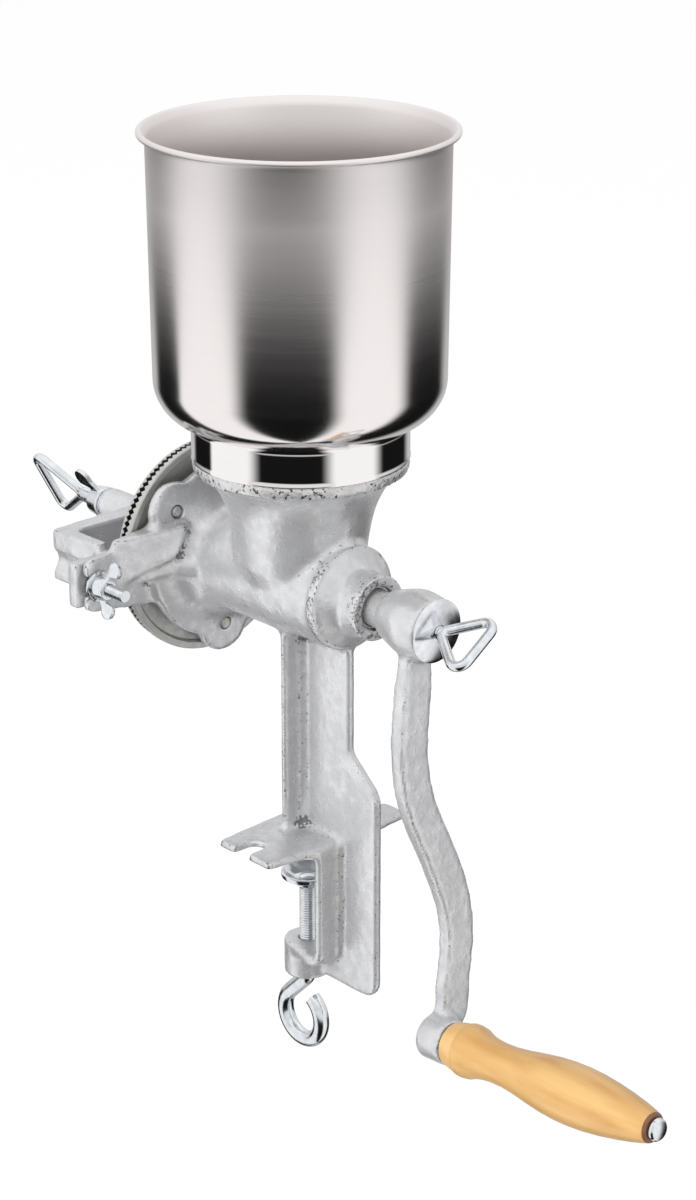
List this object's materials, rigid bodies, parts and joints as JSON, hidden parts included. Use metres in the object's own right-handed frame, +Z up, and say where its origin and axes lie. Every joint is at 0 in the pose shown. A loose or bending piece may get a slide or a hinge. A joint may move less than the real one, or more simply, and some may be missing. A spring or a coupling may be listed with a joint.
{
  "type": "manual grain and coffee mill",
  "caption": "Hand-cranked cast-iron grain and coffee mill with a round steel hopper, facing burrs, a wooden crank handle and a screw clamp for a table edge.",
  "frame": {"origin": "on the table seat (the underside of the seat plate), straight below the point where the auger's axis crosses the hopper's axis", "axes": "+Z up along the hopper's axis, +X along the auger's axis toward the crank, +Y across the mill"},
  "size_m": [0.42, 0.1606, 0.444],
  "materials": {
    "casting": "tinned, bright silver-grey with a rough sand-cast skin",
    "burr_iron": "bare grey iron",
    "hopper_steel": "satin brushed stainless steel with a polished neck band",
    "bright_plating": "bright zinc plating",
    "varnished_wood": "clear gloss varnish over pale wood"
  },
  "bodies": {
    "frame": {"body_casting": "casting", "stationary_burr": "burr_iron", "stationary_burr_pins": "bright_plating", "yoke": "casting", "yoke_bolts": "bright_plating"},
    "hopper": {"hopper_bowl": "hopper_steel"},
    "thrust": {"thrust_ball": "bright_plating"},
    "adjuster": {"adjusting_screw": "bright_plating"},
    "rotor": {"auger": "burr_iron", "carrier_pin": "bright_plating", "burr_carrier": "casting", "rotating_burr": "burr_iron", "rotating_burr_pins": "bright_plating", "crank": "casting", "handle_bolt": "bright_plating"},
    "grip": {"wooden_handle": "varnished_wood"},
    "crank_washer": {"crank_washer": "bright_plating"},
    "thumb_screw": {"crank_thumbscrew": "bright_plating"},
    "lock_washer": {"lock_washer": "bright_plating"},
    "lock_nut": {"lock_wing_nut": "bright_plating"},
    "near_washer": {"yoke_washer_near": "bright_plating"},
    "near_nut": {"yoke_wing_nut_near": "bright_plating"},
    "far_washer": {"yoke_washer_far": "bright_plating"},
    "far_nut": {"yoke_wing_nut_far": "bright_plating"},
    "pad": {"clamp_pad": "bright_plating"},
    "clamp_screw": {"clamp_screw": "bright_plating"}
  },
  "joints": [
    {"name": "hopper_lift", "type": "slide", "parent": "frame", "child": "hopper", "axis": [0, 0, 1], "range_m": [0, 0.02]},
    {"name": "thrust_slide", "type": "slide", "parent": "frame", "child": "thrust", "axis": [1, 0, 0], "range_m": [-0.003, 0.00069]},
    {"name": "adjusting_screw_turn", "type": "hinge", "parent": "thrust", "child": "adjuster", "pos_m": [-0.12, 0, 0.124], "axis": [1, 0, 0], "range_deg": [-866, 200]},
    {"name": "crank_turn", "type": "hinge", "parent": "thrust", "child": "rotor", "pos_m": [0, 0, 0.124], "axis": [1, 0, 0], "continuous": true},
    {"name": "handle_turn", "type": "hinge", "parent": "rotor", "child": "grip", "pos_m": [0.09115, 0, -0.07236], "axis": [0.9968, 0, 0.0802], "continuous": true},
    {"name": "crank_washer_slide", "type": "slide", "parent": "rotor", "child": "crank_washer", "axis": [1, 0, 0], "range_m": [0, 0.005]},
    {"name": "thumb_screw_turn", "type": "hinge", "parent": "crank_washer", "child": "thumb_screw", "pos_m": [0.09, 0, 0.124], "axis": [1, 0, 0], "range_deg": [0, 1806]},
    {"name": "lock_washer_slide", "type": "slide", "parent": "frame", "child": "lock_washer", "axis": [1, 0, 0], "range_m": [-0.0051, 0]},
    {"name": "lock_nut_turn", "type": "hinge", "parent": "lock_washer", "child": "lock_nut", "pos_m": [-0.145, 0, 0.124], "axis": [1, 0, 0], "range_deg": [-1440, 0]},
    {"name": "near_washer_slide", "type": "slide", "parent": "frame", "child": "near_washer", "axis": [1, 0, 0], "range_m": [0, 0.0051]},
    {"name": "near_nut_turn", "type": "hinge", "parent": "near_washer", "child": "near_nut", "pos_m": [-0.052, -0.0714, 0.1225], "axis": [1, 0, 0], "range_deg": [0, 1800]},
    {"name": "far_washer_slide", "type": "slide", "parent": "frame", "child": "far_washer", "axis": [1, 0, 0], "range_m": [0, 0.0051]},
    {"name": "far_nut_turn", "type": "hinge", "parent": "far_washer", "child": "far_nut", "pos_m": [-0.052, 0.0714, 0.1225], "axis": [1, 0, 0], "range_deg": [0, 1800]},
    {"name": "pad_slide", "type": "slide", "parent": "frame", "child": "pad", "axis": [0, 0, 1], "range_m": [-0.024, 0.0008]},
    {"name": "clamp_screw_turn", "type": "hinge", "parent": "pad", "child": "clamp_screw", "pos_m": [0.003, 0, -0.05], "axis": [0, 0, 1], "range_deg": [-6915, 232]}
  ],
  "couplings": [
    {"joint": "adjusting_screw_turn", "follows": "thrust_slide", "rad_per_m": 5026.5},
    {"joint": "thumb_screw_turn", "follows": "crank_washer_slide", "rad_per_m": 6283.2},
    {"joint": "lock_washer_slide", "follows": "lock_nut_turn", "m_per_rad": 0.00019894},
    {"joint": "near_washer_slide", "follows": "near_nut_turn", "m_per_rad": 0.00015915},
    {"joint": "far_washer_slide", "follows": "far_nut_turn", "m_per_rad": 0.00015915},
    {"joint": "clamp_screw_turn", "follows": "pad_slide", "rad_per_m": 5026.5}
  ]
}
